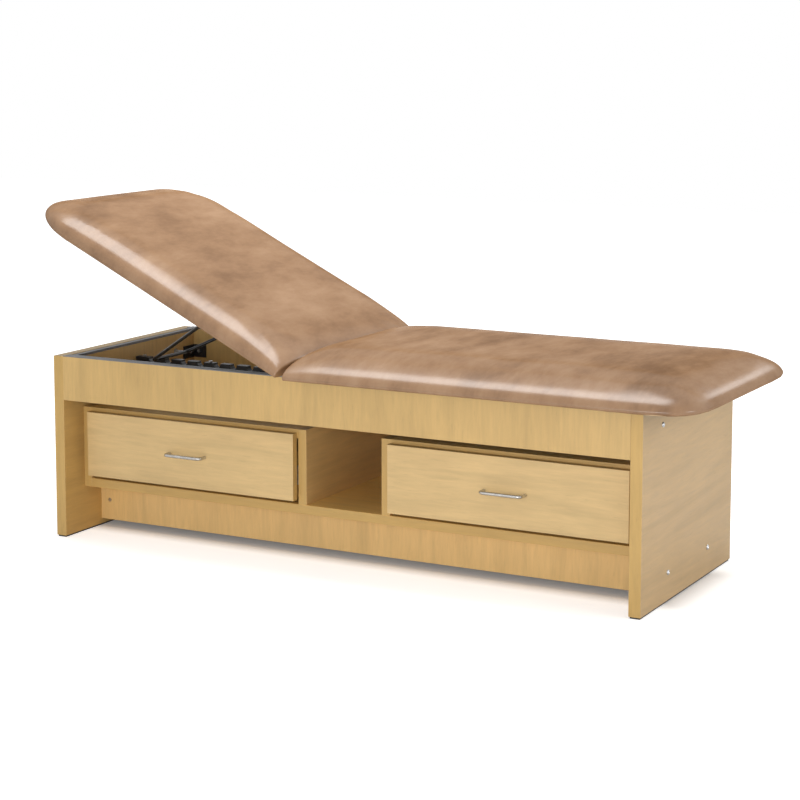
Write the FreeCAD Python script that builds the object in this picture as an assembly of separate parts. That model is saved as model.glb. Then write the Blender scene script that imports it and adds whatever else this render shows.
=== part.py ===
import FreeCAD, Part
import math
import os

# Treatment bed on a cabinet base with an adjustable backrest. Millimetres, +Z up.
# The origin lies on the floor below the middle of the whole bed, with the backrest raised
# as it is used. +X runs from the head end to the foot end. The drawers open towards -Y.

# Driving sizes of the base
base_length = 1560.0
base_depth = 572.0
base_height = 457.0
panel_thickness = 28.6
board_thickness = 22.2
edge_ease = 1.0

# Driving sizes of the two cushions, each on its own board
side_overhang = 57.0
end_overhang = 134.0
backrest_crown = 60.0
backrest_roll = 110.0
backrest_corner_radius = 150.0
seat_crown = 67.0
seat_roll = 190.0
seat_corner_radius = 105.0
edge_height = 8.0
underside_draw = 4.0
hinge_roll = 50.0
hinge_lean = 0.35
crown_corner_radius = 40.0
hinge_corner_radius = 18.0
roll_steps = 6
pad_board_thickness = 12.0
board_inset = 6.0
board_hinge_inset = 2.0
cover_thickness = 0.7
cover_inset = 15.0
cover_hinge_inset = 3.0
cover_cut_clearance = 1.0

# The backrest's hinge line and angles, in degrees above level
hinge_from_head = 683.0
hinge_gap = 12.0
pin_drop = 5.0
rest_angle = 26.1
rest_clearance = 0.3

# Clearances
hole_clearance = 0.1
pivot_clearance = 0.08
overrun = 2.0

# Feet, apron box and the grey strips that the cushions' boards rest on
glide_thickness = 4.0
glide_inset = 2.5
apron_drop = 109.7
strip_proud = 1.0
side_strip_thickness = 1.5
end_strip_thickness = 6.0
end_strip_width = 13.0
hinge_rail_setback = 60.0

# Cabinet
cabinet_setback = 79.7
cabinet_back_setback = 20.0
cabinet_back_thickness = 9.5
cabinet_apron_gap = 28.5
centre_opening = 203.0
kick_setback = 148.4
kick_floor_gap = 18.0
kick_height = 97.4

# Drawers
front_thickness = 19.0
front_reveal = 3.0
front_bottom_gap = 10.6
front_top_lap = 13.4
front_clearance = 0.5
drawer_back_gap = 18.0
drawer_top_gap = 35.0
drawer_floor_gap = 14.0
drawer_side_thickness = 12.0
drawer_bottom_thickness = 6.0
drawer_bottom_raise = 8.0

# Drawer runners, three members each, telescoping
runner_width = 12.7
runner_height = 45.0
runner_wall = 1.5
runner_play = 0.4
runner_end_setback = 2.5

# Handles
handle_centres = 101.6
handle_wire_radius = 4.0
handle_reach = 25.0
handle_bend_radius = 9.0
handle_screw_radius = 2.0
handle_screw_depth = 12.0
handle_screw_head_radius = 4.0
handle_screw_head_height = 2.5

# Bolts that hold the end panels
bolt_radius = 3.0
bolt_head_radius = 6.0
bolt_head_height = 2.0
bolt_edge_distance = 116.0
bolt_drop = 49.4
bolt_tail = 30.0
low_bolt_height = 68.0
low_bolt_tail = 6.0
barrel_nut_offset = 26.0
barrel_nut_radius = 5.0
barrel_nut_short = 1.0
nut_across_flats = 10.0
nut_height = 5.0
washer_radius = 7.0
washer_thickness = 1.2

# Corner brackets in the apron box and their screws
bracket_thickness = 4.0
bracket_height = 34.0
bracket_drop = 59.0
bracket_end_leaf = 51.0
bracket_side_leaf = 40.0
hex_screw_radius = 2.5
hex_screw_flats = 9.0
hex_head_height = 4.0
hex_screw_depth = 14.0

# Prop frame under the backrest
prop_foot_margin = 47.0
prop_pivot_drop = 28.0
prop_rod_radius = 4.5
prop_foot_half_width = 76.3
prop_apron_gap = 33.0
prop_bend_radius = 16.0
prop_bend_clearance = 1.5
prop_pin_tip = 4.0
prop_plate_length = 44.0
prop_plate_width = 26.0
prop_plate_thickness = 3.0
prop_ear_width = 18.0
prop_screw_margin_share = 1.3
prop_clip_radius = 8.0
prop_clip_thickness = 1.5

# Notched rack that the prop frame's foot drops into, and the rail under it
rack_width = 19.0
rack_height = 22.5
rack_drop = 37.5
rack_pitch = 49.4
rack_slots_below_rest = 1
rack_slots_above_rest = 5
rack_slot_radius = 10.0
rack_slot_sink = 2.0
rack_end_length = 34.0
rack_travel_gap = 0.5
rack_rail_width = 40.0
rack_screw_end_offset = 21.0
rack_screw_end_setback = 12.0
rack_middle_screw_pitches = 2.5
rack_screw_depth = 30.0

# Hinges between the two cushions' boards
hinge_apron_gap = 67.4
hinge_width = 60.0
hinge_leaf_length = 45.0
hinge_leaf_thickness = 2.5
knuckle_radius = 4.5
knuckle_gap = 0.4
hinge_pin_radius = 2.5
screw_radius = 2.0
screw_head_radius = 4.0
screw_head_height = 1.2
screw_tip_margin = 2.0
hinge_screw_spread = 20.0

# Angle brackets that hold the seat's board to the aprons
seat_bracket_width = 30.0
seat_bracket_leaf = 38.0
seat_bracket_thickness = 3.0
seat_bracket_station_shares = (0.22, 0.88)
seat_bracket_screw_share = 0.6

# Places worked out from the sizes
half_depth = base_depth / 2
half_pad = half_depth + side_overhang
deck_height = base_height + strip_proud
board_underside = deck_height + cover_thickness + rest_clearance
pin_height = board_underside - pin_drop
apron_bottom = base_height - apron_drop
apron_inner = half_depth - panel_thickness
cabinet_bottom = kick_floor_gap + kick_height
cabinet_top = apron_bottom - cabinet_apron_gap
bolt_height = base_height - bolt_drop
bracket_level = base_height - bracket_drop
rack_tooth_top = base_height - rack_drop
rack_base = rack_tooth_top - rack_height
backrest_reach = hinge_from_head + end_overhang
seat_reach = base_length - hinge_from_head + end_overhang
seat_bracket_screw_reach = seat_bracket_leaf * seat_bracket_screw_share
screw_depth = pad_board_thickness - screw_tip_margin
prop_arm = (hinge_from_head - panel_thickness - board_thickness - prop_foot_margin) / 2
prop_pin_half_width = apron_inner - prop_apron_gap
hinge_spread = apron_inner - hinge_apron_gap
bolt_spread = half_depth - bolt_edge_distance


def sine(degrees):
    return math.sin(math.radians(degrees))


def cosine(degrees):
    return math.cos(math.radians(degrees))


def cushion_profile(crown, roll, corner_radius):
    """Cushion rings from the underside to the crown.

    Each has its height, its inset and corner radius at the outer edges, and its inset at
    the hinge.
    """
    rings = [(0, underside_draw, corner_radius - underside_draw, 0)]
    for step in range(roll_steps + 1):
        turn = 90.0 * step / roll_steps
        share = 1 - cosine(turn)
        rise = (crown - edge_height) * sine(turn)
        radius = corner_radius - share * (corner_radius - crown_corner_radius)
        rings.append((edge_height + rise, share * roll, radius, share * hinge_roll + rise * hinge_lean))
    return rings


backrest_profile = cushion_profile(backrest_crown, backrest_roll, backrest_corner_radius)
seat_profile = cushion_profile(seat_crown, seat_roll, seat_corner_radius)


def raised_head_reach():
    """How far the raised backrest reaches from the hinge pin towards the head end."""
    reaches = []
    for height, inset, _, _ in backrest_profile:
        along = (backrest_reach - inset) * cosine(rest_angle)
        reaches.append(along - (height + pin_drop) * sine(rest_angle))
    return max(reaches)


hinge_x = (raised_head_reach() - seat_reach) / 2
head_x = hinge_x - hinge_from_head
foot_x = head_x + base_length
head_inner = head_x + panel_thickness
foot_inner = foot_x - panel_thickness
middle_x = (head_x + foot_x) / 2
pin_point = FreeCAD.Vector(hinge_x, 0, pin_height)

# The prop frame and the backrest make an isosceles triangle with the hinge pin, so the
# frame's foot travels along a straight line that passes through the pin's axis.
pivot_rise = board_underside - prop_pivot_drop - pin_height
pivot_offset_angle = math.degrees(math.asin(pivot_rise / prop_arm))
foot_flat_height = rack_tooth_top + rack_travel_gap + prop_rod_radius
track_drop = pin_height - foot_flat_height
track_angle = math.degrees(math.asin(track_drop / (2 * prop_arm)))


def prop_pivot(angle):
    """Axis of the prop frame's pivot, with the backrest at an angle above level."""
    direction = angle + pivot_offset_angle
    along = prop_arm * cosine(direction)
    return FreeCAD.Vector(hinge_x - along, 0, pin_height + prop_arm * sine(direction))


def prop_foot(angle):
    """Axis of the prop frame's foot, with the backrest at an angle above level."""
    reach = 2 * prop_arm * cosine(angle + pivot_offset_angle + track_angle)
    across = reach * cosine(track_angle)
    return FreeCAD.Vector(hinge_x - across, 0, pin_height - reach * sine(track_angle))


def angle_for_foot(foot_x_place):
    """Backrest angle that puts the prop frame's foot at a place along the rack."""
    reach = (hinge_x - foot_x_place) / cosine(track_angle)
    turn = math.degrees(math.acos(reach / (2 * prop_arm)))
    return turn - pivot_offset_angle - track_angle


prop_leg_turn = math.atan2(prop_arm, prop_pin_half_width - prop_foot_half_width)
prop_bend_setback = prop_bend_radius * math.tan(prop_leg_turn / 2)
prop_ear_start = prop_pin_half_width + prop_bend_setback + prop_bend_clearance
prop_ear_end = prop_ear_start + prop_plate_thickness
prop_clip_start = prop_ear_end + rest_clearance
prop_pin_end = prop_clip_start + prop_clip_thickness + prop_pin_tip
rest_foot = prop_foot(rest_angle)
rest_pivot = prop_pivot(rest_angle)
last_slot_x = rest_foot.x + rack_slots_above_rest * rack_pitch
top_angle = angle_for_foot(last_slot_x)


def vector(x, y, z):
    return FreeCAD.Vector(x, y, z)


def box(x_range, y_range, z_range):
    low = vector(min(x_range), min(y_range), min(z_range))
    high = vector(max(x_range), max(y_range), max(z_range))
    size = high - low
    return Part.makeBox(size.x, size.y, size.z, low)


def cylinder(radius, start, end):
    return Part.makeCylinder(radius, (end - start).Length, start, end - start)


def hexagon(flats, start, end):
    """Hexagonal prism between two points."""
    direction = end - start
    radius = flats / 2 / cosine(30)
    side = vector(0, 0, 1) if abs(direction.z) < abs(direction.x + direction.y) else vector(1, 0, 0)
    turn = FreeCAD.Rotation(direction, 60)
    corner = side * radius
    corners = []
    for _ in range(6):
        corners.append(start + corner)
        corner = turn.multVec(corner)
    corners.append(corners[0])
    return Part.Face(Part.makePolygon(corners)).extrude(direction)


def mirror_y(shape):
    return shape.mirror(vector(0, 0, 0), vector(0, 1, 0))


def both_sides(shape):
    return [shape, mirror_y(shape)]


def mirror_ends(shape):
    """Mirror across the middle of the base's length."""
    return shape.mirror(vector(middle_x, 0, 0), vector(1, 0, 0))


def raise_backrest(shape):
    """Turn a shape made with the backrest flat to the photographed angle."""
    turned = shape.copy()
    turned.rotate(pin_point, vector(0, 1, 0), rest_angle)
    return turned


def cut_all(shape, tools):
    for tool in tools:
        shape = shape.cut(tool)
    return shape


def eased(shape, edge_filter):
    """Round the chosen straight edges of a board a little, as a banded edge is."""
    edges = [edge for edge in shape.Edges if edge_filter(edge)]
    return shape.makeFillet(edge_ease, edges)


def save(name, shapes):
    """Write one node: a single solid, or a group of separate ones."""
    shapes = shapes if isinstance(shapes, list) else [shapes]
    solids = []
    for shape in shapes:
        solids.extend(shape.removeSplitter().Solids)
    node = solids[0] if len(solids) == 1 else Part.makeCompound(solids)
    node.exportStep("parts/" + name + ".step")


def round_screw(head_under, direction, radius, head_radius, head_height, depth):
    """Round-headed screw. Its head's underside lies at a point, its shank points onwards."""
    unit = vector(*direction)
    head = cylinder(head_radius, head_under - unit * head_height, head_under)
    return head.fuse(cylinder(radius, head_under, head_under + unit * depth))


def hex_screw(head_under, direction, depth):
    unit = vector(*direction)
    head = hexagon(hex_screw_flats, head_under - unit * hex_head_height, head_under)
    return head.fuse(cylinder(hex_screw_radius, head_under, head_under + unit * depth))


def shank_hole(point, direction, radius, depth):
    """Hole for a shank that starts at a point, open at the near side."""
    unit = vector(*direction)
    return cylinder(radius + hole_clearance, point - unit * overrun, point + unit * (depth + hole_clearance))


# Bolts through the end panels
panel_bolt_places = []
for side in (-1, 1):
    panel_bolt_places.append((side * bolt_spread, bolt_height, "through"))
kick_centre = half_depth - kick_setback - board_thickness / 2
for side in (-1, 1):
    panel_bolt_places.append((side * kick_centre, low_bolt_height, "barrel"))


def panel_bolt_length(kind):
    if kind == "through":
        return panel_thickness + board_thickness + bolt_tail
    return panel_thickness + barrel_nut_offset + low_bolt_tail


def head_end_bolts():
    bolts = []
    for y, z, kind in panel_bolt_places:
        point = vector(head_x, y, z)
        bolts.append(round_screw(point, (1, 0, 0), bolt_radius, bolt_head_radius,
                                 bolt_head_height, panel_bolt_length(kind)))
    return bolts


def head_end_bolt_holes():
    holes = []
    for y, z, kind in panel_bolt_places:
        holes.append(shank_hole(vector(head_x, y, z), (1, 0, 0), bolt_radius, panel_bolt_length(kind)))
    return holes


def make_fastening_of_ends():
    bolts = head_end_bolts()
    save("end_panel_bolts", bolts + [mirror_ends(bolt) for bolt in bolts])
    nuts = []
    wall = head_inner + board_thickness
    for side in (-1, 1):
        y = side * bolt_spread
        washer_end = vector(wall + washer_thickness, y, bolt_height)
        hole = shank_hole(vector(wall, y, bolt_height), (1, 0, 0), bolt_radius, bolt_tail)
        washer = cylinder(washer_radius, vector(wall, y, bolt_height), washer_end)
        nut = hexagon(nut_across_flats, washer_end, washer_end + vector(nut_height, 0, 0))
        nuts.extend([washer.cut(hole), nut.cut(hole)])
    save("end_bolt_nuts", nuts + [mirror_ends(nut) for nut in nuts])
    barrels = []
    for side in (-1, 1):
        y = side * kick_centre
        half = board_thickness / 2 - barrel_nut_short
        x = head_inner + barrel_nut_offset
        barrel = cylinder(barrel_nut_radius, vector(x, y - half, low_bolt_height),
                          vector(x, y + half, low_bolt_height))
        barrels.append(cut_all(barrel, head_end_bolt_holes()))
    save("barrel_nuts", barrels + [mirror_ends(barrel) for barrel in barrels])


def make_end_panels():
    panel = box((head_x, head_inner), (-half_depth, half_depth), (glide_thickness, base_height))
    panel = eased(panel, lambda edge: edge.BoundBox.XLength < edge_ease)
    panel = cut_all(panel, head_end_bolt_holes())
    save("end_panel_left", panel)
    save("end_panel_right", mirror_ends(panel))
    half = half_depth - glide_inset
    glide = box((head_x + glide_inset, head_inner - glide_inset), (-half, half), (0, glide_thickness))
    save("floor_glides", [glide, mirror_ends(glide)])


# Corner brackets of the apron box, made at the head end's back corner and mirrored
rail_inner = head_inner + board_thickness


def corner_bracket():
    levels = (bracket_level - bracket_height / 2, bracket_level + bracket_height / 2)
    end_leaf = box((rail_inner, rail_inner + bracket_thickness),
                   (apron_inner - bracket_end_leaf, apron_inner), levels)
    side_leaf = box((rail_inner, rail_inner + bracket_side_leaf),
                    (apron_inner - bracket_thickness, apron_inner), levels)
    return end_leaf.fuse(side_leaf)


def corner_screw_places():
    """Where the two screws' heads seat on the bracket, and the way they point."""
    on_rail = vector(rail_inner + bracket_thickness, apron_inner - bracket_end_leaf / 2, bracket_level)
    on_apron = vector(rail_inner + bracket_side_leaf / 2, apron_inner - bracket_thickness, bracket_level)
    return [(on_rail, (-1, 0, 0)), (on_apron, (0, 1, 0))]


def corner_screws():
    depth = bracket_thickness + hex_screw_depth
    return [hex_screw(point, way, depth) for point, way in corner_screw_places()]


def corner_screw_holes():
    depth = bracket_thickness + hex_screw_depth
    holes = [shank_hole(point, way, hex_screw_radius, depth) for point, way in corner_screw_places()]
    holes += [mirror_y(hole) for hole in holes]
    return holes + [mirror_ends(hole) for hole in holes]


def four_corners(shapes):
    shapes = shapes + [mirror_y(shape) for shape in shapes]
    return shapes + [mirror_ends(shape) for shape in shapes]


def seat_bracket_xs():
    """Places along the aprons, between the hinge rail and the foot end rail."""
    start = hinge_x + hinge_rail_setback + board_thickness
    span = foot_inner - board_thickness - start
    return [start + span * share for share in seat_bracket_station_shares]


def seat_bracket_screw_places():
    """The upright leaf's screw goes into the apron, the flat leaf's screw into the seat's board."""
    places = []
    for x in seat_bracket_xs():
        upright = vector(x, apron_inner - seat_bracket_thickness, board_underside - seat_bracket_screw_reach)
        flat = vector(x, apron_inner - seat_bracket_screw_reach, board_underside - seat_bracket_thickness)
        places += [(upright, (0, 1, 0)), (flat, (0, 0, 1))]
    return places


def seat_bracket_holes():
    depth = seat_bracket_thickness + screw_depth
    holes = [shank_hole(point, way, screw_radius, depth) for point, way in seat_bracket_screw_places()]
    return holes + [mirror_y(hole) for hole in holes]


def seat_brackets():
    brackets = []
    for x in seat_bracket_xs():
        across = (x - seat_bracket_width / 2, x + seat_bracket_width / 2)
        upright = box(across, (apron_inner - seat_bracket_thickness, apron_inner),
                      (board_underside - seat_bracket_leaf, board_underside))
        flat = box(across, (apron_inner - seat_bracket_leaf, apron_inner),
                   (board_underside - seat_bracket_thickness, board_underside))
        bracket = cut_all(upright.fuse(flat), seat_bracket_holes())
        brackets += both_sides(bracket)
    return brackets


def make_apron_box():
    apron_top = deck_height - side_strip_thickness
    apron = box((head_inner, foot_inner), (apron_inner, half_depth), (apron_bottom, apron_top))
    apron = eased(apron, lambda edge: edge.BoundBox.XLength > panel_thickness
                  and edge.BoundBox.YMin > half_depth - edge_ease
                  and edge.BoundBox.ZMax < apron_top - edge_ease)
    apron = cut_all(apron, corner_screw_holes() + seat_bracket_holes())
    save("back_apron", apron)
    save("front_apron", mirror_y(apron))
    side_strip = box((head_inner, foot_inner), (apron_inner, half_depth), (apron_top, deck_height))
    rail_top = deck_height - end_strip_thickness
    rail = box((head_inner, rail_inner), (-apron_inner, apron_inner), (apron_bottom, rail_top))
    rail = cut_all(rail, head_end_bolt_holes() + corner_screw_holes())
    save("head_end_rail", rail)
    save("foot_end_rail", mirror_ends(rail))
    end_strip = box((rail_inner - end_strip_width, rail_inner), (-apron_inner, apron_inner),
                    (rail_top, deck_height))
    save("rim_strips", both_sides(side_strip) + [end_strip, mirror_ends(end_strip)])
    bracket = cut_all(corner_bracket(), corner_screw_holes())
    save("corner_brackets", four_corners([bracket]))
    save("bracket_screws", four_corners(corner_screws()))
    rail_start = hinge_x + hinge_rail_setback
    hinge_rail = box((rail_start, rail_start + board_thickness), (-apron_inner, apron_inner),
                     (apron_bottom, deck_height))
    save("hinge_rail", hinge_rail)


# Cabinet under the aprons
cabinet_front = -half_depth + cabinet_setback
cabinet_back = half_depth - cabinet_back_setback
cabinet_inner_back = cabinet_back - cabinet_back_thickness
cabinet_floor = cabinet_bottom + board_thickness
cabinet_ceiling = cabinet_top - board_thickness


def make_cabinet():
    depth = (cabinet_front, cabinet_inner_back)
    side = box((head_inner, rail_inner), depth, (cabinet_bottom, cabinet_top))
    side = eased(side, lambda edge: edge.BoundBox.ZLength > board_thickness
                 and edge.BoundBox.YMax < cabinet_front + edge_ease)
    save("left_cabinet_side", side)
    save("right_cabinet_side", mirror_ends(side))
    bottom = box((rail_inner, foot_inner - board_thickness), depth, (cabinet_bottom, cabinet_floor))
    bottom = eased(bottom, lambda edge: edge.BoundBox.XLength > board_thickness
                   and edge.BoundBox.YMax < cabinet_front + edge_ease)
    save("bottom_board", bottom)
    divider_face = middle_x - centre_opening / 2
    divider = box((divider_face - board_thickness, divider_face), depth, (cabinet_floor, cabinet_top))
    divider = eased(divider, lambda edge: edge.BoundBox.ZLength > board_thickness
                    and edge.BoundBox.YMax < cabinet_front + edge_ease)
    save("left_divider", divider)
    save("right_divider", mirror_ends(divider))
    top = box((rail_inner, divider_face - board_thickness), depth, (cabinet_ceiling, cabinet_top))
    save("left_cabinet_top", top)
    save("right_cabinet_top", mirror_ends(top))
    back = box((head_inner, foot_inner), (cabinet_inner_back, cabinet_back), (cabinet_bottom, cabinet_top))
    save("cabinet_back", back)


def make_kick_boards():
    front = -half_depth + kick_setback
    board = box((head_inner, foot_inner), (front, front + board_thickness), (kick_floor_gap, cabinet_bottom))
    holes = head_end_bolt_holes()
    holes += [mirror_ends(hole) for hole in holes]
    pocket = cylinder(barrel_nut_radius + hole_clearance,
                      vector(head_inner + barrel_nut_offset, -half_depth, low_bolt_height),
                      vector(head_inner + barrel_nut_offset, 0, low_bolt_height))
    board = cut_all(board, holes + [pocket, mirror_ends(pocket)])
    save("front_kick_board", board)
    save("rear_kick_board", mirror_y(board))


# Drawers. The left one is made, and the right one is its mirror image.
opening_start = rail_inner
opening_end = middle_x - centre_opening / 2 - board_thickness
opening_middle = (opening_start + opening_end) / 2
front_face = cabinet_front - front_clearance - front_thickness
front_back = cabinet_front - front_clearance
front_bottom = cabinet_floor + front_bottom_gap
front_top = cabinet_ceiling + front_top_lap
handle_level = (front_bottom + front_top) / 2
drawer_bottom = cabinet_floor + drawer_floor_gap
drawer_top = cabinet_ceiling - drawer_top_gap
drawer_start = opening_start + runner_width
drawer_end = opening_end - runner_width
drawer_back_end = cabinet_inner_back - drawer_back_gap


def handle_screw_holes():
    holes = []
    for side in (-1, 1):
        start = vector(opening_middle + side * handle_centres / 2, front_back, handle_level)
        depth = front_thickness + handle_screw_depth
        holes.append(shank_hole(start, (0, -1, 0), handle_screw_radius, depth))
    return holes


def drawer_handle():
    """Bent wire pull: two posts, two bends and a straight grip."""
    half = handle_centres / 2
    level = handle_level
    grip_y = front_face - handle_reach
    bend = handle_bend_radius
    path = []
    for side in (-1, 1):
        x = opening_middle + side * half
        post = Part.LineSegment(vector(x, front_face, level), vector(x, grip_y + bend, level))
        middle = vector(x - side * bend * (1 - cosine(45)), grip_y + bend * (1 - sine(45)), level)
        arc = Part.Arc(vector(x, grip_y + bend, level), middle, vector(x - side * bend, grip_y, level))
        path += [post, arc]
    grip = Part.LineSegment(vector(opening_middle - half + bend, grip_y, level),
                            vector(opening_middle + half - bend, grip_y, level))
    edges = Part.sortEdges([item.toShape() for item in path + [grip]])[0]
    wire = Part.Wire(edges)
    start = vector(opening_middle - half, front_face, level)
    section = Part.Wire(Part.makeCircle(handle_wire_radius, start, vector(0, 1, 0)))
    handle = wire.makePipeShell([section], True, True)
    return cut_all(Part.Solid(handle), handle_screw_holes())


def drawer_pieces():
    front = box((opening_start + front_reveal, opening_end - front_reveal), (front_face, front_back),
                (front_bottom, front_top))
    front = eased(front, lambda edge: edge.BoundBox.YMax < front_face + edge_ease)
    front = cut_all(front, handle_screw_holes())
    depth = (front_back, drawer_back_end)
    levels = (drawer_bottom, drawer_top)
    left_side = box((drawer_start, drawer_start + drawer_side_thickness), depth, levels)
    right_side = box((drawer_end - drawer_side_thickness, drawer_end), depth, levels)
    inner = (drawer_start + drawer_side_thickness, drawer_end - drawer_side_thickness)
    floor_top = drawer_bottom + drawer_bottom_raise + drawer_bottom_thickness
    back = box(inner, (drawer_back_end - drawer_side_thickness, drawer_back_end), (floor_top, drawer_top))
    bottom = box(inner, depth, (drawer_bottom + drawer_bottom_raise, floor_top))
    screws = []
    for side in (-1, 1):
        under = vector(opening_middle + side * handle_centres / 2, front_back, handle_level)
        screws.append(round_screw(under, (0, -1, 0), handle_screw_radius, handle_screw_head_radius,
                                  handle_screw_head_height, front_thickness + handle_screw_depth))
    return {"front": front, "sides": [left_side, right_side], "back": back, "bottom": bottom,
            "handle": drawer_handle(), "handle_screws": screws}


def channel(web_x, tip_x, half_height, y_range, level):
    """Runner member: an upright web with a flange at its top and at its bottom."""
    outer = box((web_x, tip_x), y_range, (level - half_height, level + half_height))
    way = 1 if tip_x > web_x else -1
    inner = box((web_x + way * runner_wall, tip_x + way * overrun),
                (y_range[0] - overrun, y_range[1] + overrun),
                (level - half_height + runner_wall, level + half_height - runner_wall))
    return outer.cut(inner)


def runner_members():
    """The three nested members of the runner on the outer side of the left drawer."""
    level = (drawer_bottom + drawer_top) / 2
    y_range = (cabinet_front + runner_end_setback, drawer_back_end - runner_end_setback)
    half = runner_height / 2
    step = runner_wall + runner_play
    fixed = channel(opening_start, drawer_start - step, half, y_range, level)
    middle = channel(opening_start + step, drawer_start - step, half - step, y_range, level)
    moving = channel(drawer_start, opening_start + 2 * step, half - 2 * step, y_range, level)
    return {"cabinet_runners": fixed, "middle_runners": middle, "drawer_runners": moving}


def mirror_in_opening(shape):
    return shape.mirror(vector(opening_middle, 0, 0), vector(1, 0, 0))


def make_drawers():
    pieces = {"drawer_" + name: shape for name, shape in drawer_pieces().items()}
    for name, member in runner_members().items():
        pieces[name] = [member, mirror_in_opening(member)]
    for name, shape in pieces.items():
        shapes = shape if isinstance(shape, list) else [shape]
        save("left_" + name, shapes)
        save("right_" + name, [mirror_ends(one) for one in shapes])


# Cushions, their boards and the dust covers below them
def pad_ring(way, reach, height, outer_inset, outer_radius, hinge_inset):
    """Outline of a cushion at one height, nearly square at the hinge and round at the outer end.

    way is -1 for the backrest, which runs towards the head, and 1 for the seat.
    """
    near = hinge_x + way * (hinge_gap + hinge_inset)
    far = hinge_x + way * (reach - outer_inset)
    half = half_pad - outer_inset
    z = board_underside + height
    corners = [(near, -half, hinge_corner_radius), (far, -half, outer_radius),
               (far, half, outer_radius), (near, half, hinge_corner_radius)]
    edges = []
    count = len(corners)
    for index, (x, y, radius) in enumerate(corners):
        before = corners[index - 1]
        after = corners[(index + 1) % count]
        corner = vector(x, y, z)
        to_before = (vector(before[0], before[1], z) - corner).normalize()
        to_after = (vector(after[0], after[1], z) - corner).normalize()
        centre = corner + (to_before + to_after) * radius
        inward = (corner - centre).normalize() * radius
        arc_start = corner + to_before * radius
        arc_end = corner + to_after * radius
        edges.append(Part.Arc(arc_start, centre + inward, arc_end).toShape())
        next_start = vector(after[0], after[1], z) - to_after * after[2]
        edges.append(Part.LineSegment(arc_end, next_start).toShape())
    return Part.Wire(edges)


def pad_plate(way, reach, corner_radius, inset, hinge_inset, low, high):
    """Flat plate that follows the cushion's outline."""
    ring = pad_ring(way, reach, low, inset, corner_radius - inset, hinge_inset)
    return Part.Face(ring).extrude(vector(0, 0, high - low))


def pad_board(way, reach, corner_radius):
    return pad_plate(way, reach, corner_radius, board_inset, board_hinge_inset, 0, pad_board_thickness)


def cushion(way, reach, profile, board):
    """Crowned cushion: rolled edges, drawn in below, open underneath for its board."""
    rings = [pad_ring(way, reach, height, inset, radius, hinge_inset)
             for height, inset, radius, hinge_inset in profile]
    return Part.makeLoft(rings, True, True).cut(board)


def dust_cover(way, reach, corner_radius, fittings):
    """Thin sheet under a board, cut away round the fittings that are screwed to the board."""
    cover = pad_plate(way, reach, corner_radius, cover_inset, cover_hinge_inset, -cover_thickness, 0)
    for fitting in fittings:
        bounds = fitting.BoundBox
        cover = cover.cut(box((bounds.XMin - cover_cut_clearance, bounds.XMax + cover_cut_clearance),
                              (bounds.YMin - cover_cut_clearance, bounds.YMax + cover_cut_clearance),
                              (board_underside - overrun, board_underside + overrun)))
    return cover


# Hinges, made with the backrest flat
def hinge_leaf(way, y, knuckle_ranges, open_ranges):
    """One leaf with its knuckles. way is 1 for the seat's leaf and -1 for the backrest's."""
    z_range = (board_underside - hinge_leaf_thickness, board_underside)
    low_y = y - hinge_width / 2
    high_y = y + hinge_width / 2
    leaf = box((hinge_x, hinge_x + way * hinge_leaf_length), (low_y, high_y), z_range)
    clear = knuckle_radius + knuckle_gap
    for start, end in open_ranges:
        leaf = leaf.cut(box((hinge_x - clear, hinge_x + clear), (start - knuckle_gap, end + knuckle_gap),
                            (pin_height - clear, board_underside + overrun)))
    for start, end in knuckle_ranges:
        leaf = leaf.fuse(cylinder(knuckle_radius, vector(hinge_x, start, pin_height),
                                  vector(hinge_x, end, pin_height)))
    bore = cylinder(hinge_pin_radius + pivot_clearance, vector(hinge_x, low_y - overrun, pin_height),
                    vector(hinge_x, high_y + overrun, pin_height))
    return leaf.cut(bore)


def hinge_knuckles(y):
    """The seat's two outer knuckles and the backrest's middle one, along the pin."""
    third = hinge_width / 3
    low = y - hinge_width / 2
    outer = [(low, low + third), (low + 2 * third, low + hinge_width)]
    middle = [(low + third + knuckle_gap, low + 2 * third - knuckle_gap)]
    return outer, middle


def hinge_screw_places(way):
    places = []
    x = hinge_x + way * (hinge_gap + hinge_leaf_length) / 2
    for side in (-1, 1):
        for offset in (-1, 1):
            y = side * hinge_spread + offset * hinge_screw_spread
            places.append((vector(x, y, board_underside - hinge_leaf_thickness), (0, 0, 1)))
    return places


def small_screws(places, thickness):
    return [round_screw(point, way, screw_radius, screw_head_radius, screw_head_height,
                        thickness + screw_depth) for point, way in places]


def small_screw_holes(places, thickness):
    return [shank_hole(point, way, screw_radius, thickness + screw_depth) for point, way in places]


def hinge_leaves(way):
    leaves = []
    for side in (-1, 1):
        y = side * hinge_spread
        outer, middle = hinge_knuckles(y)
        ranges = (outer, middle) if way == 1 else (middle, outer)
        leaf = hinge_leaf(way, y, ranges[0], ranges[1])
        leaves.append(cut_all(leaf, small_screw_holes(hinge_screw_places(way), hinge_leaf_thickness)))
    return leaves


def hinge_pins():
    pins = []
    for side in (-1, 1):
        y = side * hinge_spread
        pins.append(cylinder(hinge_pin_radius, vector(hinge_x, y - hinge_width / 2, pin_height),
                             vector(hinge_x, y + hinge_width / 2, pin_height)))
    return pins


# Prop frame, its two pivot brackets and its retaining clips
flat_pivot = prop_pivot(0)


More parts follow.
